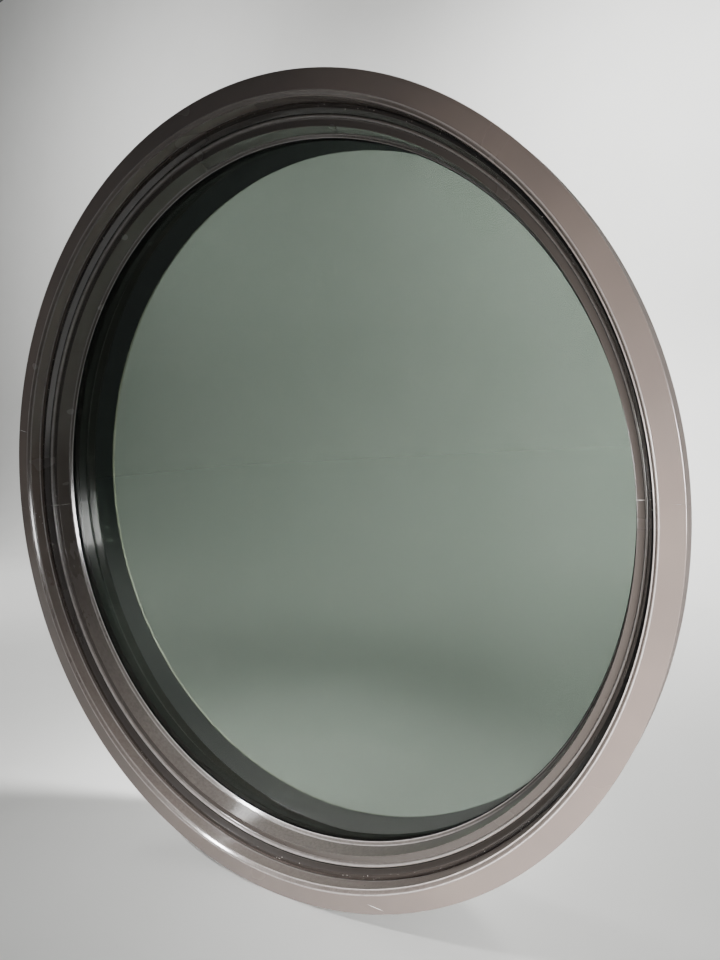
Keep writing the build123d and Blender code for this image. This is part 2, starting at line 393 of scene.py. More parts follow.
@dataclass(frozen=True)
class PowderCoat(Finish):
    """Satin powder coat on bent aluminium, baked: warm grey, its highlights broken up by fine orange peel."""

    name: str = "powder_coat_bronze_satin"
    colour: str = "5f5550"
    worn_colour: str = "665b55"
    inner_colour: str = "4c4642"
    dust_colour: str = "958d87"
    chip_colour: str = "e6e2dd"
    # Dark brown for grit and pits, and for the painted shade in the narrow face, inner corners and groove.
    grime_and_shade_colour: str = "2a2522"
    # Pale, for the painted highlights along the edges.
    highlight_colour: str = "cdc8c6"
    # Tone wanders by two or three per cent over areas as large as a hand, and gloss over half that.
    patches: Mottle = Mottle(0.25, 3.0, 0.35, 0.65)
    gloss: Mottle = Mottle(0.12, 2.0, 0.3, 0.7, 0.23, 0.28)
    # The painted shade in the corners and the painted highlights on the edges are uneven over 15 mm.
    uneven: Mottle = Mottle(0.015, 2.0, 0.3, 0.6, 0.7, 1.0)
    # Marks are broken up over a millimetre, so that they look rubbed and not printed.
    rubbed: Mottle = Mottle(0.0012, 3.0, 0.35, 0.55, 0.25, 1.0)
    # Dust runs down in streaks 8 mm wide, drawn to four times that in height.
    streaks: Mottle = Mottle(0.008, 1.5, 0.3, 0.75, 0.35, 1.0)
    streak_draw: float = 0.25
    # Sand is finer than a millimetre. Its grains are drawn from patterns of 3 and 4 mm, so that a few show.
    grit: Mottle = Mottle(0.003, 0.0, 0.76, 0.8, 0.0, 0.8)
    grains: Mottle = Mottle(0.004, 0.0, 0.79, 0.81, 0.0, 0.8)
    # Orange peel: dimples 6 mm across and 15 microns deep, with some half that size.
    peel_size: float = 0.006
    peel_depth: float = 0.000015
    # Zones of the section: the inner covers, the narrow face and the groove (both darkened as painted shade),
    # the groove's floor, the casing's side.
    covers: Zone = Zone(outer=0.8995, soft=0.001)
    face: Zone = Zone(inner=0.8672, outer=0.8820, front=-0.003, soft=0.0004)
    groove: Zone = Zone(inner=0.889, outer=0.9072, front=-0.0285, soft=0.002)
    groove_floor: Zone = Zone(inner=0.8970)
    side: Zone = Zone(inner=0.9590, front=-0.06875, soft_depth=0.00075)
    # How strongly painted shade darkens the narrow face and the groove.
    face_painted_shade: float = 0.55
    groove_painted_shade: float = 0.92
    dust_matt: float = 0.45
    side_matt: float = 0.4
    coat_roughness: float = 0.1
    chips: tuple[Mark, ...] = CHIPS
    pits: tuple[Mark, ...] = PITS
    # The edges take painted highlights and the inner corners painted shade.
    edges: tuple[Band, ...] = EDGE_HIGHLIGHTS
    corner_shade: tuple[Band, ...] = CORNER_SHADE

    def gather(self, graph: Graph, spot: Spot, marks: tuple[Mark, ...]) -> Feed:
        """Add up the masks of several marks and break them up.

        Args:
            graph: The material's graph.
            spot: The place on the paint.
            marks: The marks.

        Returns:
            The summed mask.
        """
        total, *rest = [mark.mask(graph, spot) for mark in marks]
        for mask in rest:
            total = graph.add("ShaderNodeMath", (total, mask), operation="ADD", use_clamp=True)
        return overlap(graph, total, self.rubbed.share(graph, spot.coords))

    def dusty(self, graph: Graph, spot: Spot) -> Feed:
        """Lay dust thinly on faces that look up, in streaks.

        Args:
            graph: The material's graph.
            spot: The place on the paint.

        Returns:
            The dust's share.
        """
        lies = graph.add("ShaderNodeMapRange", (spot.up, 0.1, 0.95, 0.0, 0.4))
        drawn = graph.add("ShaderNodeMapping", {"Vector": spot.coords, "Scale": (1.0, 1.0, self.streak_draw)})
        return overlap(graph, lies, self.streaks.share(graph, drawn))

    def layers(self, graph: Graph, spot: Spot, dust: Feed) -> list[tuple[Feed, str]]:
        """List what lies over the coat's own colour, from the first layer to the last.

        Args:
            graph: The material's graph.
            spot: The place on the paint.
            dust: The dust's share.

        Returns:
            The share and the colour of each layer.
        """
        uneven = self.uneven.share(graph, spot.coords)
        # The painted highlights on the edges are strongest at the bottom and fade towards the top, as light
        # falls on the lower edges that look up.
        highlight_fall = graph.add("ShaderNodeMapRange", (spot.height, -0.75, 0.35, 1.0, 0.45))
        highlit = overlap(graph, uneven, highlight_fall)
        layers = [
            (self.patches.share(graph, spot.coords), self.worn_colour),
            # The window's own covers are a browner, darker batch than the casing.
            (self.covers.mask(graph, spot), self.inner_colour),
            # Painted shade: the narrow face between return and shoulder is darkened brown, where the casing
            # shades it from light below.
            (overlap(graph, self.face.mask(graph, spot), self.face_painted_shade), self.grime_and_shade_colour),
        ]
        # Painted shade in the inner corners.
        layers += [(overlap(graph, band.mask(graph, spot), uneven), self.grime_and_shade_colour) for band in self.corner_shade]
        # Painted highlights along the edges.
        layers += [(overlap(graph, band.mask(graph, spot), highlit), self.highlight_colour) for band in self.edges]
        # Grit lies on faces that look up. The groove is darkened with painted shade, and holds pale grains on
        # its floor.
        holds = graph.add("ShaderNodeMapRange", (spot.up, 0.2, 0.8, 0.0, 0.8))
        keeps = graph.add("ShaderNodeMapRange", (spot.up, -0.2, 0.1, 0.0, 1.0))
        groove = self.groove.mask(graph, spot)
        floor = self.groove_floor.mask(graph, spot)
        layers += [
            (dust, self.dust_colour),
            (overlap(graph, holds, self.grit.share(graph, spot.coords)), self.grime_and_shade_colour),
            (overlap(graph, groove, self.groove_painted_shade), self.grime_and_shade_colour),
            (overlap(graph, groove, floor, self.grains.share(graph, spot.coords), keeps), self.chip_colour),
            (self.gather(graph, spot, self.pits), self.grime_and_shade_colour),
            (self.gather(graph, spot, self.chips), self.chip_colour),
        ]
        return layers

    def surface(self, graph: Graph, coords: Feed) -> dict[str, object]:
        """See Finish.surface: the layers of colour, patchy gloss that dust dulls, and the peel.

        Args:
            graph: The material's graph.
            coords: Object coordinates.

        Returns:
            What the shader's inputs take, by their names.
        """
        spot = Spot.read(graph, coords)
        dust = self.dusty(graph, spot)
        colour = linear(self.colour)
        for share, tone in self.layers(graph, spot, dust):
            colour = graph.add("ShaderNodeMix", (share, colour, linear(tone)), data_type="RGBA")
        # The casing's outer side got the thinnest coat and is matt.
        side = self.side.mask(graph, spot)
        rough = self.gloss.share(graph, coords)
        for dull in (overlap(graph, dust, self.dust_matt), overlap(graph, side, self.side_matt)):
            rough = graph.add("ShaderNodeMath", (rough, dull), operation="ADD", use_clamp=True)
        peel = graph.add("ShaderNodeTexNoise", {"Vector": coords, "Scale": 1 / self.peel_size, "Detail": 1.0})
        return {
            "Base Color": colour,
            "Roughness": rough,
            "Coat Weight": graph.add("ShaderNodeMath", (1.0, side), operation="SUBTRACT"),
            "Coat Roughness": self.coat_roughness,
            "Normal": graph.add("ShaderNodeBump", {"Height": peel, "Distance": self.peel_depth}),
        }


@dataclass(frozen=True)
class BrushedPaint(Finish):
    """Brushed satin paint on laminated wood: faint strokes along the ring that catch the light."""

    name: str = "paint_dark_on_laminated_wood"
    colour: str = "131a17"
    light_colour: str = "1e2723"
    roughness: float = 0.5
    sheen_level: float = 0.14
    # A bristle leaves a stroke about a millimetre wide, and here fifty times as long.
    stroke: float = 0.0011
    stroke_draw: float = 0.02
    stroke_depth: float = 0.00004

    def surface(self, graph: Graph, coords: Feed) -> dict[str, object]:
        """See Finish.surface: strokes follow the ring by its stored length, so they bend with it.

        Args:
            graph: The material's graph.
            coords: Object coordinates.

        Returns:
            What the shader's inputs take, by their names.
        """
        along = graph.add("ShaderNodeAttribute", attribute_name="along").outputs["Fac"]
        across = graph.add("ShaderNodeAttribute", attribute_name="across").outputs["Fac"]
        ring = graph.add("ShaderNodeCombineXYZ", (overlap(graph, along, self.stroke_draw), across))
        bristles = {"Vector": ring, "Scale": 1 / self.stroke, "Detail": 3.0, "Roughness": 0.6}
        strokes = graph.add("ShaderNodeTexNoise", bristles)
        share = graph.add("ShaderNodeMapRange", (strokes, 0.3, 0.75, 0.0, 1.0))
        tones = (share, linear(self.colour), linear(self.light_colour))
        gloss = Mottle(0.05, 4.0, 0.3, 0.7, self.roughness - 0.06, self.roughness + 0.1)
        relief = {"Height": strokes, "Distance": self.stroke_depth, "Strength": 0.6}
        bump = graph.add("ShaderNodeBump", relief)
        return {
            "Base Color": graph.add("ShaderNodeMix", tones, data_type="RGBA"),
            "Roughness": gloss.share(graph, coords),
            "Specular IOR Level": self.sheen_level,
            "Normal": bump,
        }


@dataclass(frozen=True)
class Rubber(Finish):
    """Extruded black rubber, dusty: matt, with a grey bloom where it was wiped."""

    name: str = "rubber_black_extruded"
    colour: str = "0d0d0e"
    bloom_colour: str = "3a3936"
    sheen_level: float = 0.12
    # Bloom in patches of 6 mm, and the fine skin that the die leaves.
    bloom: Mottle = Mottle(0.006, 4.0, 0.5, 0.75, 0.0, 0.6)
    skin: float = 0.0008
    skin_depth: float = 0.00003

    def surface(self, graph: Graph, coords: Feed) -> dict[str, object]:
        """See Finish.surface: bloom in small patches, duller than the rest, and a fine skin.

        Args:
            graph: The material's graph.
            coords: Object coordinates.

        Returns:
            What the shader's inputs take, by their names.
        """
        bloom = self.bloom.share(graph, coords)
        tones = (bloom, linear(self.colour), linear(self.bloom_colour))
        skin = graph.add("ShaderNodeTexNoise", {"Vector": coords, "Scale": 1 / self.skin, "Detail": 2.0})
        return {
            "Base Color": graph.add("ShaderNodeMix", tones, data_type="RGBA"),
            "Roughness": graph.add("ShaderNodeMapRange", (bloom, 0.0, self.bloom.most, 0.5, 0.8)),
            "Specular IOR Level": self.sheen_level,
            "Normal": graph.add("ShaderNodeBump", {"Height": skin, "Distance": self.skin_depth}),
        }


@dataclass(frozen=True)
class FloatGlass(Finish):
    """Float glass, polished and coated: green through its thickness, a stronger mirror than bare glass."""

    name: str = "float_glass_tinted"
    colour: str = "80887f"
    index: float = 1.52
    # The sputtered coating: a thin film of high index that doubles the reflection.
    coating: float = 0.25
    coating_index: float = 2.0
    # Rinse marks: soft runs 5 cm wide and three times as high that dull the reflection a little.
    rinse: Mottle = Mottle(0.05, 3.0, 0.5, 0.8, 0.0, 0.04)
    rinse_draw: float = 0.3

    def surface(self, graph: Graph, coords: Feed) -> dict[str, object]:
        """See Finish.surface: clear body, the coating's mirror, and faint rinse marks in its gloss.

        Args:
            graph: The material's graph.
            coords: Object coordinates.

        Returns:
            What the shader's inputs take, by their names.
        """
        runs = graph.add("ShaderNodeMapping", {"Vector": coords, "Scale": (1.0, 1.0, self.rinse_draw)})
        return {
            "Base Color": linear(self.colour),
            "Transmission Weight": 1.0,
            "IOR": self.index,
            "Roughness": 0.0,
            "Coat Weight": self.coating,
            "Coat IOR": self.coating_index,
            "Coat Roughness": self.rinse.share(graph, runs),
        }


@dataclass(frozen=True)
class BareMetal(Finish):
    """Bare sheet metal, rolled or zinc-coated: soft grey with fine rolling lines or pale spangle."""

    name: str = "steel_galvanised"
    colour: str = "b9bcbf"
    dull_colour: str = "8f9396"
    roughness: float = 0.38
    spangle: float = 0.006
    # Rolling leaves a grain of about a millimetre, 20 microns deep.
    grain: float = 0.001
    grain_depth: float = 0.00002

    def surface(self, graph: Graph, coords: Feed) -> dict[str, object]:
        """See Finish.surface: cells of two tones and gloss, as zinc crystals or rolling marks give.

        Args:
            graph: The material's graph.
            coords: Object coordinates.

        Returns:
            What the shader's inputs take, by their names.
        """
        cells = graph.add("ShaderNodeTexVoronoi", {"Vector": coords, "Scale": 1 / self.spangle})
        share = graph.add("ShaderNodeSeparateColor", (cells.outputs["Color"],))
        tones = (share, linear(self.colour), linear(self.dull_colour))
        dulled = (share, 0.0, 1.0, self.roughness - 0.08, self.roughness + 0.1)
        grain = graph.add("ShaderNodeTexNoise", {"Vector": coords, "Scale": 1 / self.grain, "Detail": 3.0})
        return {
            "Base Color": graph.add("ShaderNodeMix", tones, data_type="RGBA"),
            "Roughness": graph.add("ShaderNodeMapRange", dulled),
            "Metallic": 1.0,
            "Normal": graph.add("ShaderNodeBump", {"Height": grain, "Distance": self.grain_depth}),
        }


@dataclass(frozen=True)
class Fibrous(Finish):
    """Bare plywood or dense foam, sawn: two close tones in thin layers, matt."""

    name: str = "plywood_sawn"
    colour: str = "c9a878"
    layer_colour: str = "9c7a4e"
    roughness: float = 0.7
    # A veneer of plywood is 1.3 mm thick, and its tone runs on for twelve times that.
    layer: float = 0.0013
    layer_draw: float = 0.08
    layer_depth: float = 0.0001

    def surface(self, graph: Graph, coords: Feed) -> dict[str, object]:
        """See Finish.surface: level layers, thin in height.

        Args:
            graph: The material's graph.
            coords: Object coordinates.

        Returns:
            What the shader's inputs take, by their names.
        """
        draw = (self.layer_draw, self.layer_draw, 1.0)
        drawn = graph.add("ShaderNodeMapping", {"Vector": coords, "Scale": draw})
        layers = graph.add("ShaderNodeTexNoise", {"Vector": drawn, "Scale": 1 / self.layer, "Detail": 3.0})
        tones = (layers, linear(self.colour), linear(self.layer_colour))
        return {
            "Base Color": graph.add("ShaderNodeMix", tones, data_type="RGBA"),
            "Roughness": self.roughness,
            "Normal": graph.add("ShaderNodeBump", {"Height": layers, "Distance": self.layer_depth}),
        }


@dataclass(frozen=True)
class Paper(Finish):
    """Pale matt studio paper: almost even, so that nothing on it takes the eye."""

    name: str = "paper_pale_matt"
    colour: str = "dcdcda"
    shade_colour: str = "d6d6d3"
    roughness: float = 0.9
    # The tone wanders slowly, over 40 cm.
    wander: float = 0.4
    # No sheen at low angles, so that the glass mirrors no bright line where the floor ends.
    sheen_level: float = 0.0

    def surface(self, graph: Graph, coords: Feed) -> dict[str, object]:
        """See Finish.surface: two close tones, and no sheen.

        Args:
            graph: The material's graph.
            coords: Object coordinates.

        Returns:
            What the shader's inputs take, by their names.
        """
        wander = graph.add("ShaderNodeTexNoise", {"Vector": coords, "Scale": 1 / self.wander, "Detail": 3.0})
        tones = (wander, linear(self.colour), linear(self.shade_colour))
        return {
            "Base Color": graph.add("ShaderNodeMix", tones, data_type="RGBA"),
            "Roughness": self.roughness,
            "Specular IOR Level": self.sheen_level,
        }


@dataclass(frozen=True)
class Corner:
    """One corner of a section: radius and depth behind the casing's face in mm, and how far it is rounded."""

    radius: float
    depth: float
    round: float = 0.0


@dataclass
class Sweep:
    """Sweeps closed sections round the ring's axis with one Geometry Nodes tree."""

    face_y: float
    segments: int = 360
    fillet_steps: int = 5
    sharp_angle: float = 32.0
    tree: bpy.types.NodeTree = field(init=False)

    def __post_init__(self) -> None:
        """Build the shared tree."""
        self.tree = bpy.data.node_groups.new("ring_sweep", "GeometryNodeTree")
        face = self.tree.interface
        for name, kind in (
            ("Section", "NodeSocketGeometry"),
            ("Path Radius", "NodeSocketFloat"),
            ("Start", "NodeSocketFloat"),
            ("Run", "NodeSocketFloat"),
            ("Segments", "NodeSocketInt"),
            ("Closed", "NodeSocketBool"),
            ("Material", "NodeSocketMaterial"),
        ):
            face.new_socket(name, in_out="INPUT", socket_type=kind)
        face.new_socket("Ring", in_out="OUTPUT", socket_type="NodeSocketGeometry")
        graph = Graph(self.tree)
        given = graph.add("NodeGroupInput").outputs
        rounded = graph.add("GeometryNodeInputNamedAttribute", {"Name": "round"}, data_type="FLOAT")
        outline = graph.add("GeometryNodeMeshToCurve", {0: given["Section"]})
        filleted = graph.add(
            "GeometryNodeFilletCurve",
            {
                "Curve": outline,
                "Count": self.fillet_steps,
                "Radius": rounded.outputs["Attribute"],
                "Limit Radius": True,
            },
            mode="POLY",
        )
        # The lengths round the section and along the ring are kept for finishes that follow it.
        length = graph.add("GeometryNodeSplineParameter").outputs["Length"]
        profile = graph.add(
            "GeometryNodeStoreNamedAttribute",
            {"Geometry": filleted, "Name": "across", "Value": length},
            data_type="FLOAT",
            domain="POINT",
        )
        arc = graph.add(
            "GeometryNodeCurveArc",
            {
                "Resolution": given["Segments"],
                "Radius": given["Path Radius"],
                "Start Angle": given["Start"],
                "Sweep Angle": given["Run"],
            },
            mode="RADIUS",
        )
        path = graph.add("GeometryNodeSetSplineCyclic", {0: arc, "Cyclic": given["Closed"]})
        path = graph.add("GeometryNodeSetCurveNormal", {0: path}, mode="Z_UP")
        path = graph.add(
            "GeometryNodeStoreNamedAttribute",
            {"Geometry": path, "Name": "along", "Value": length},
            data_type="FLOAT",
            domain="POINT",
        )
        swept = graph.add(
            "GeometryNodeCurveToMesh",
            {"Curve": path, "Profile Curve": profile, "Fill Caps": True},
        )
        angle = graph.add("GeometryNodeInputMeshEdgeAngle")
        is_sharp = graph.add(
            "FunctionNodeCompare", {0: angle, 1: math.radians(self.sharp_angle)}, operation="GREATER_THAN"
        )
        smooth = graph.add("GeometryNodeSetShadeSmooth", {0: swept, "Shade Smooth": True}, domain="FACE")
        creased = graph.add(
            "GeometryNodeSetShadeSmooth",
            {0: smooth, "Selection": is_sharp, "Shade Smooth": False},
            domain="EDGE",
        )
        turned = graph.add("GeometryNodeTransform", {0: creased, "Rotation": (math.radians(90), 0, 0)})
        real = graph.add("GeometryNodeRealizeInstances", {0: turned})
        painted = graph.add("GeometryNodeSetMaterial", {0: real, "Material": given["Material"]})
        graph.add("NodeGroupOutput", {0: painted})

    def ring(
        self, name: str, corners: list[Corner], part: Half, finish: bpy.types.Material, gap: float = 0.0
    ) -> bpy.types.Object:
        """Sweep one section.

        Args:
            name: The piece's name.
            corners: The closed section.
            part: Which arc of the ring.
            finish: The material.
            gap: Width of the joint where two halves meet, in metres.

        Returns:
            The finished mesh object.
        """
        corners = wound(corners)
        path_radius = corners[0].radius * MM
        mesh = bpy.data.meshes.new(name)
        points = [(c.radius * MM - path_radius, self.face_y + c.depth * MM, 0.0) for c in corners]
        edges = [(i, (i + 1) % len(points)) for i in range(len(points))]
        mesh.from_pydata(points, edges, [])
        rounding = mesh.attributes.new("round", "FLOAT", "POINT")
        rounding.data.foreach_set("value", [c.round * MM for c in corners])
        made = bpy.data.objects.new(name, mesh)
        bpy.context.scene.collection.objects.link(made)
        start, run = part.value
        whole = part is Half.WHOLE
        inset = 0.0 if whole else math.degrees(gap / 2 / path_radius)
        # An open arc has a point at each end, and on a closed one the last step leads back to the first point.
        count = self.segments if whole else self.segments // 2 + 1
        turn = run * (1 - 1 / count) if whole else run - 2 * inset
        values = {
            "Path Radius": path_radius,
            "Start": math.radians(start + inset),
            "Run": math.radians(turn),
            "Segments": count,
            "Closed": whole,
            "Material": finish,
        }
        modifier = made.modifiers.new("sweep", "NODES")
        modifier.node_group = self.tree
        for item in self.tree.interface.items_tree:
            if item.item_type == "SOCKET" and item.name in values:
                modifier[item.identifier] = values[item.name]
        made.modifiers.new("face_normals", "WEIGHTED_NORMAL").keep_sharp = True
        return bake(made)


def wound(corners: list[Corner]) -> list[Corner]:
    """Put a section's corners in the order that makes its swept faces look outward.

    Args:
        corners: The closed section, in either order.

    Returns:
        The same corners, starting with the same one.
    """
    following = corners[1:] + corners[:1]
    area = sum(a.radius * b.depth - b.radius * a.depth for a, b in zip(corners, following))
    return corners if area > 0 else [corners[0], *corners[:0:-1]]


def bake(made: bpy.types.Object) -> bpy.types.Object:
    """Turn an object with modifiers into a plain mesh.

    Args:
        made: The object.

    Returns:
        The same object, with its evaluated mesh and no modifiers.
    """
    bpy.context.view_layer.update()
    state = bpy.context.evaluated_depsgraph_get()
    finished = made.evaluated_get(state)
    mesh = bpy.data.meshes.new_from_object(finished, preserve_all_data_layers=True, depsgraph=state)
    made.modifiers.clear()
    made.data = mesh
    return made


def settle(made: bpy.types.Object, slot: str, *nodes: str) -> None:
    """Args:
        made: The piece.
        slot: The record's material slot; not used.
        *nodes: CAD nodes that it stands for.
    """
    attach(made, BODY)
    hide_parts(*nodes)
    LOG.info("%s: %d faces, stands for %s", made.name, len(made.data.polygons), ", ".join(nodes))


@dataclass
class OutdoorCovers:
    """The bent aluminium seen outdoors: casing, frame cover and glazing cover, each in two halves."""

    sweep: Sweep
    radius: float
    paint: bpy.types.Material
    joint: float = 0.0005
    face_width: float = 44.5
    bead: float = 1.7
    quirk: float = 0.7
    bevel_width: float = 7.5
    bevel_depth: float = 9.0
    return_taper: float = 2.5
    nose_depth: float = 38.0
    foot_setback: float = 3.0
    side_depth: float = 46.0
    wall: float = 1.8
    frame_depth: float = 46.5
    frame_edge: float = 896.4
    frame_outer: float = 918.0
    channel_width: float = 6.8
    channel_depth: float = 13.5
    cover_wall: float = 1.6
    shoulder_start: float = 888.6
    shoulder_depth: float = 60.8
    face_outer: float = 882.1
    face_depth: float = 69.4
    face_inner: float = 867.1
    face_inner_depth: float = 70.8
    return_end: float = 862.7
    return_depth: float = 111.1
    sight: float = 857.1
    lip_depth: float = 120.0

    def casing(self) -> list[Corner]:
        """Lay out the casing's section.

        Returns:
            Its corners, seen side first.
        """
        edge = self.radius - self.face_width
        corner = edge - self.bevel_width
        nose = corner - self.return_taper
        foot = nose + self.foot_setback
        bead, quirk, wall = self.bead, self.quirk, self.wall
        return [
            Corner(self.radius, self.side_depth, 0.3),
            Corner(self.radius, 0, 1.4),
            Corner(edge + bead + quirk * 2, 0, 0.3),
            Corner(edge + bead + quirk, quirk * 1.5, 0.2),
            Corner(edge + bead, -quirk / 3, 0.7),
            Corner(edge, -quirk / 3, 1.0),
            Corner(edge - quirk, bead, 0.3),
            Corner(edge - bead, bead + quirk, 0.2),
            Corner(corner + bead + quirk, self.bevel_depth - bead - quirk, 1.2),
            Corner(corner + bead, self.bevel_depth - quirk, 0.2),
            Corner(corner + bead / 2, self.bevel_depth - bead, 0.5),
            Corner(corner - quirk, self.bevel_depth - bead / 2, 0.8),
            Corner(corner - quirk / 2, self.bevel_depth + bead, 0.5),
            Corner(nose, self.nose_depth - bead * 2, 3.2),
            Corner(nose + bead / 2, self.nose_depth + bead / 2, 2.2),
            Corner(foot, self.frame_depth, 0.2),
            Corner(foot + wall, self.frame_depth, 0.2),
            Corner(nose + wall * 1.4, self.nose_depth, 1.0),
            Corner(corner + wall, self.bevel_depth + wall / 2, 1.0),
            Corner(edge + wall, wall, 1.0),
            Corner(self.radius - wall, wall, 0.5),
            Corner(self.radius - wall, self.side_depth, 0.3),
        ]

    def frame_cover(self) -> list[Corner]:
        """Lay out the frame cover's section.

        Returns:
            Its corners, seen side first.
        """
        lip = self.frame_edge - self.channel_width
        lip_depth = self.frame_depth + self.channel_depth
        wall = self.cover_wall
        return [
            Corner(self.frame_outer, self.frame_depth, 0.2),
            Corner(self.frame_edge + wall / 2, self.frame_depth, 0.5),
            Corner(self.frame_edge, self.frame_depth + wall / 3, 0.5),
            Corner(lip + wall, lip_depth - wall * 2, 3.0),
            Corner(lip, lip_depth, 0.4),
            Corner(lip + wall * 0.9, lip_depth + wall * 0.45, 0.3),
            Corner(self.frame_edge + wall * 0.63, self.frame_depth + wall, 0.5),
            Corner(self.frame_outer, self.frame_depth + wall, 0.2),
        ]

    def glazing_cover(self) -> list[Corner]:
        """Lay out the glazing cover's section; offsets of up to 3 mm are its rolled-over edges.

        Returns:
            Its corners, seen side first.
        """
        wall = self.cover_wall
        bulge = (self.shoulder_start + self.face_outer) / 2 - wall
        return [
            Corner(self.shoulder_start, self.shoulder_depth + 1.2, 0.6),
            Corner(self.shoulder_start - 0.8, self.shoulder_depth - 0.6, 1.2),
            Corner(bulge, self.shoulder_depth + 0.4, 5.0),
            Corner(self.face_outer + 0.3, self.face_depth - 0.8, 0.6),
            Corner(self.face_outer - 0.6, self.face_depth + 0.2, 0.3),
            Corner(self.face_inner + wall * 0.7, self.face_inner_depth - 0.1, 0.2),
            Corner(self.face_inner + wall * 0.5, self.face_inner_depth - 0.5, 0.2),
            Corner(self.face_inner - 0.1, self.face_inner_depth - 0.4, 0.9),
            Corner(self.return_end + 0.5, self.return_depth - 1.6, 0.3),
            Corner(self.return_end + 1.2, self.return_depth - 0.6, 0.2),
            Corner(self.return_end - 0.6, self.return_depth - 0.2, 0.8),
            Corner(self.return_end - 1.4, self.return_depth + 1.0, 0.8),
            Corner(self.return_end - 0.6, self.return_depth + 2.2, 0.2),
            Corner(self.sight - 0.2, self.lip_depth - 0.6, 0.8),
            Corner(self.sight + wall * 0.85, self.lip_depth + wall * 0.6, 0.3),
            Corner(self.return_end + wall, self.return_depth + wall * 0.5, 0.4),
            Corner(self.face_inner + wall, self.face_inner_depth + wall, 0.6),
            Corner(self.face_outer + wall * 0.9, self.face_depth + wall, 0.6),
            Corner(self.shoulder_start + 0.6, self.shoulder_depth + wall, 0.3),
        ]

    def build(self) -> None:
        """Sweep the six half rings and hand them over."""
        for kind, corners in (
            ("casing", self.casing()),
            ("frame_cover", self.frame_cover()),
            ("glazing_cover", self.glazing_cover()),
        ):
            for half in (Half.UPPER, Half.LOWER):
                node = f"{kind}_{half.name.lower()}"
                made = self.sweep.ring(f"{node}_rolled", corners, half, self.paint, self.joint)
                settle(made, "bronze_paint", node)


@dataclass
class RoomSide:
    """The laminated wood frame with its deep reveal, the bead at the glass and the light casing."""

    sweep: Sweep
    dark: bpy.types.Material
    light: bpy.types.Material
    joint: float = 0.0002
    outer: float = 918.0
    reveal: float = 878.0
    front: float = 48.1
    front_inner: float = 897.4
    rebate_depth: float = 75.4
    rebate_outer: float = 883.9
    rebate_inner: float = 868.3
    shoulder: float = 120.4
    shoulder_inner: float = 863.4
    glass_back: float = 150.0
    bead_depth: float = 22.0
    bead_radius: float = 859.0
    bead_slope: float = 7.0
    back: float = 292.0
    setback: float = 5.0
    trim_width: float = 35.0
    trim_thickness: float = 12.0

    def frame(self) -> list[Corner]:
        """Lay out the wood frame's section, whose front follows the covers' hidden sides.

        Returns:
            Its corners.
        """
        return [
            Corner(self.outer, self.front, 0.5),
            Corner(self.front_inner, self.front, 0.3),
            Corner(self.rebate_outer, self.rebate_depth, 0.3),
            Corner(self.rebate_inner, self.rebate_depth, 0.3),
            Corner(self.shoulder_inner, self.shoulder, 0.3),
            Corner(self.reveal, self.shoulder, 0.3),
            Corner(self.reveal, self.back, 1.2),
            Corner(self.outer, self.back, 1.0),
        ]

    def bead(self) -> list[Corner]:
        """Lay out the glazing bead's section.

        Returns:
            Its corners.
        """
        back = self.glass_back + self.bead_depth
        return [
            Corner(self.reveal, self.glass_back, 0.2),
            Corner(self.bead_radius, self.glass_back, 0.8),
            Corner(self.bead_radius + 1, self.glass_back + 4, 2.0),
            Corner(self.bead_radius + self.bead_slope - 1, back - 3, 4.0),
            Corner(self.bead_radius + self.bead_slope, back, 1.0),
            Corner(self.reveal, back, 0.2),
        ]

    def trim(self) -> list[Corner]:
        """Lay out the interior casing's section.

        Returns:
            Its corners.
        """
        inner = self.reveal + self.setback
        return [
            Corner(inner, self.back, 0.4),
            Corner(inner + self.trim_width, self.back, 0.4),
            Corner(inner + self.trim_width, self.back + self.trim_thickness, 2.0),
            Corner(inner, self.back + self.trim_thickness, 2.5),
        ]

    def build(self) -> None:
        """Sweep the halves and hand them over."""
        for half in (Half.LEFT, Half.RIGHT):
            node = f"wood_frame_{half.name.lower()}"
            made = self.sweep.ring(f"{node}_laminated", self.frame(), half, self.dark, self.joint)
            settle(made, "dark_wood", node)
        for half in (Half.UPPER, Half.LOWER):
            node = f"glazing_bead_{half.name.lower()}"
            made = self.sweep.ring(f"{node}_moulded", self.bead(), half, self.dark, self.joint)
            settle(made, "dark_wood", node)
            node = f"interior_casing_{half.name.lower()}"
            made = self.sweep.ring(f"{node}_eased", self.trim(), half, self.light, self.joint)
            settle(made, "ivory_wood", node)


@dataclass
class Glazing:
    """The two panes and the gasket they bed against."""

    sweep: Sweep
    rubber: bpy.types.Material
    outer_glass: bpy.types.Material
    inner_glass: bpy.types.Material
    nodes: dict[str, bpy.types.Object]
    sight: float = 855.4
    width: float = 14.5
    front: float = 120.4
    back: float = 122.0

    def build(self) -> None:
        """Finish the panes and sweep the gasket with its rounded edge."""
        finish_nodes(self.nodes, self.outer_glass, "outer_pane")
        finish_nodes(self.nodes, self.inner_glass, "inner_pane")
        corners = [
            Corner(self.sight, self.front - 1.0, 0.8),
            Corner(self.sight, self.back, 0.4),
            Corner(self.sight + self.width, self.back, 0.2),
            Corner(self.sight + self.width, self.front, 0.2),
            Corner(self.sight + 2.0, self.front, 0.2),
            Corner(self.sight + 1.6, self.front - 1.0, 0.4),
        ]
        made = self.sweep.ring("glazing_gasket_bead", corners, Half.WHOLE, self.rubber)
        settle(made, "black_rubber", "glazing_gasket")


def finish_nodes(nodes: dict[str, bpy.types.Object], finish: bpy.types.Material, *names: str) -> None:
    """Give CAD nodes that stay a finish.

    Args:
        nodes: The frame's nodes by name.
        finish: The material.
        *names: Which nodes.
    """
    for name in names:
        for slot in nodes[name].material_slots:
            slot.material = finish
        LOG.info("%s: CAD node kept, finish %s", name, finish.name)


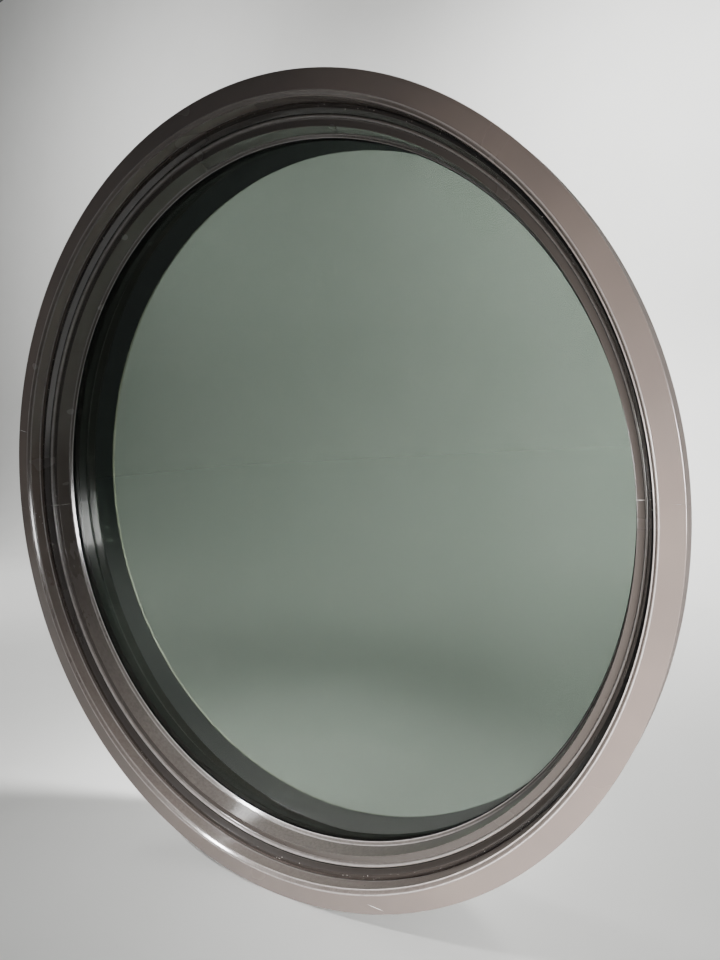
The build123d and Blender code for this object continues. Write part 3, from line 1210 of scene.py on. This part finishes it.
@dataclass(frozen=True)
class Lamp:
    """One soft light: place, aim, size and power, and the angle of its beam, as a softbox's grid sets it."""

    name: str
    place: Point
    target: Point
    size: tuple[float, float]
    watts: float
    spread: float = 180.0
    mirrored: bool = True

    def hang(self) -> None:
        """Add the light to the scene."""
        data = bpy.data.lights.new(self.name, "AREA")
        data.shape = "RECTANGLE"
        data.size, data.size_y = self.size
        data.energy = self.watts
        data.spread = math.radians(self.spread)
        made = bpy.data.objects.new(self.name, data)
        made.location = self.place
        made.rotation_euler = (Vector(self.target) - Vector(self.place)).to_track_quat("-Z", "Y").to_euler()
        # No lamp shows through the glass, and those behind the window aren't mirrored in anything.
        made.visible_glossy = self.mirrored
        made.visible_transmission = False
        made.visible_camera = False
        bpy.context.scene.collection.objects.link(made)


# The key and the top light the ring, the room lamp its room side, and the two at the back the paper behind.
LAMPS = (
    Lamp("key", (2.1, -2.8, -0.1), (0.7, 0.0, -0.42), (0.75, 1.0), 40, 42),
    Lamp("top", (-2.0, -2.6, 3.3), (-0.1, 0.0, -0.9), (0.45, 0.45), 4.5, 28),
    Lamp("room", (0.9, 1.3, 0.9), (-0.6, 0.23, -0.65), (0.5, 0.5), 20, 60),
    Lamp("back", (0.5, 1.6, 4.2), (0.0, 5.0, 0.5), (3.0, 3.0), 300, 110, mirrored=False),
    Lamp("back_left", (-5.0, 0.6, 4.4), (-7.0, 5.0, 0.0), (3.0, 3.0), 420, mirrored=False),
)


@dataclass
class Studio:
    """A plain pale floor that sweeps up behind, soft lights, and the camera at the photograph's place."""

    floor_z: float
    camera_place: Point = (1.155, -1.292, 0.143)
    camera_turn: Point = (86.6, 4.02, 33.81)
    lens: float = 26.25
    sensor: float = 36.0
    half_width: float = 30.0
    near: float = -30.0
    far: float = 5.0
    height: float = 7.0
    bend: float = 2.0
    steps: int = 16
    surround: float = 0.11
    level_colour: str = "b4b9b8"
    upper_colour: str = "dbe2e8"
    lamps: tuple[Lamp, ...] = LAMPS

    def backdrop(self) -> None:
        """Make the floor and its upright end as one bent sheet."""
        line = [(self.near, self.floor_z)]
        for step in range(self.steps + 1):
            turn = math.radians(90) * step / self.steps
            out = self.far - self.bend + self.bend * math.sin(turn)
            line.append((out, self.floor_z + self.bend - self.bend * math.cos(turn)))
        line.append((self.far, self.height))
        points = [(x, y, z) for y, z in line for x in (-self.half_width, self.half_width)]
        faces = [(2 * i, 2 * i + 1, 2 * i + 3, 2 * i + 2) for i in range(len(line) - 1)]
        mesh = bpy.data.meshes.new("backdrop")
        mesh.from_pydata(points, [], faces)
        mesh.shade_smooth()
        mesh.materials.append(Paper().material())
        made = bpy.data.objects.new("backdrop", mesh)
        bpy.context.scene.collection.objects.link(made)
        made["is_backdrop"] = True

    def world(self) -> None:
        """Make an even surround, a little brighter above than at the horizon."""
        world = bpy.data.worlds.new("studio")
        world.use_nodes = True
        world.node_tree.nodes.clear()
        graph = Graph(world.node_tree)
        aim = graph.add("ShaderNodeTexCoord").outputs["Generated"]
        height = graph.add("ShaderNodeSeparateXYZ", (aim,)).outputs["Z"]
        rise = graph.add("ShaderNodeMapRange", (height, -0.05, 0.45, 0.0, 1.0))
        tones = (rise, linear(self.level_colour), linear(self.upper_colour))
        tone = graph.add("ShaderNodeMix", tones, data_type="RGBA")
        back = graph.add("ShaderNodeBackground", {"Color": tone, "Strength": self.surround})
        graph.add("ShaderNodeOutputWorld", {"Surface": back})
        bpy.context.scene.world = world

    def camera(self) -> None:
        """Set the camera where the photograph was taken."""
        data = bpy.data.cameras.new("camera")
        data.lens = self.lens
        data.sensor_width = self.sensor
        made = bpy.data.objects.new("camera", data)
        made.location = self.camera_place
        made.rotation_euler = [math.radians(a) for a in self.camera_turn]
        bpy.context.scene.collection.objects.link(made)
        bpy.context.scene.camera = made

    def build(self) -> None:
        """Set up floor, lights, world and camera."""
        self.backdrop()
        for lamp in self.lamps:
            lamp.hang()
        self.world()
        self.camera()


def main() -> None:
    """Load the frame, build each group of pieces in order, and set up the studio."""
    logging.basicConfig(level=logging.INFO, format="%(message)s")
    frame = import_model()
    cad_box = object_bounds()
    nodes = frame["nodes"]
    low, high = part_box("casing_lower")
    sweep = Sweep(face_y=low.y)
    paint = PowderCoat().material()
    dark = BrushedPaint().material()
    ivory = BrushedPaint(
        name="paint_ivory_on_wood", colour="d8d2bf", light_colour="e4dfce", roughness=0.45, sheen_level=0.5
    ).material()
    rubber = Rubber().material()
    zinc = BareMetal().material()
    mill = BareMetal(name="aluminium_mill", colour="c9cacb", dull_colour="b3b5b7", spangle=0.002).material()
    OutdoorCovers(sweep, round(high.x / MM), paint).build()
    RoomSide(sweep, dark, ivory).build()
    tinted = FloatGlass().material()
    clear = FloatGlass(name="float_glass_clear", colour="e2eae7", coating=0.2).material()
    Glazing(sweep, rubber, tinted, clear, nodes).build()
    finish_nodes(nodes, rubber, "setting_blocks", "edge_blocks")
    finish_nodes(nodes, zinc, "fixing_tabs", "casing_clips")
    finish_nodes(nodes, mill, "casing_keys", "frame_cover_keys", "glazing_cover_keys")
    finish_nodes(nodes, Fibrous().material(), "frame_tongues")
    foam = Fibrous(name="foam_spacer_dense", colour="2a2a2b", layer_colour="1c1c1d", roughness=0.8)
    finish_nodes(nodes, foam.material(), "glazing_spacer")
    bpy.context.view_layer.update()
    Studio(floor_z=cad_box[0].z).build()


if __name__ == "__main__":
    main()
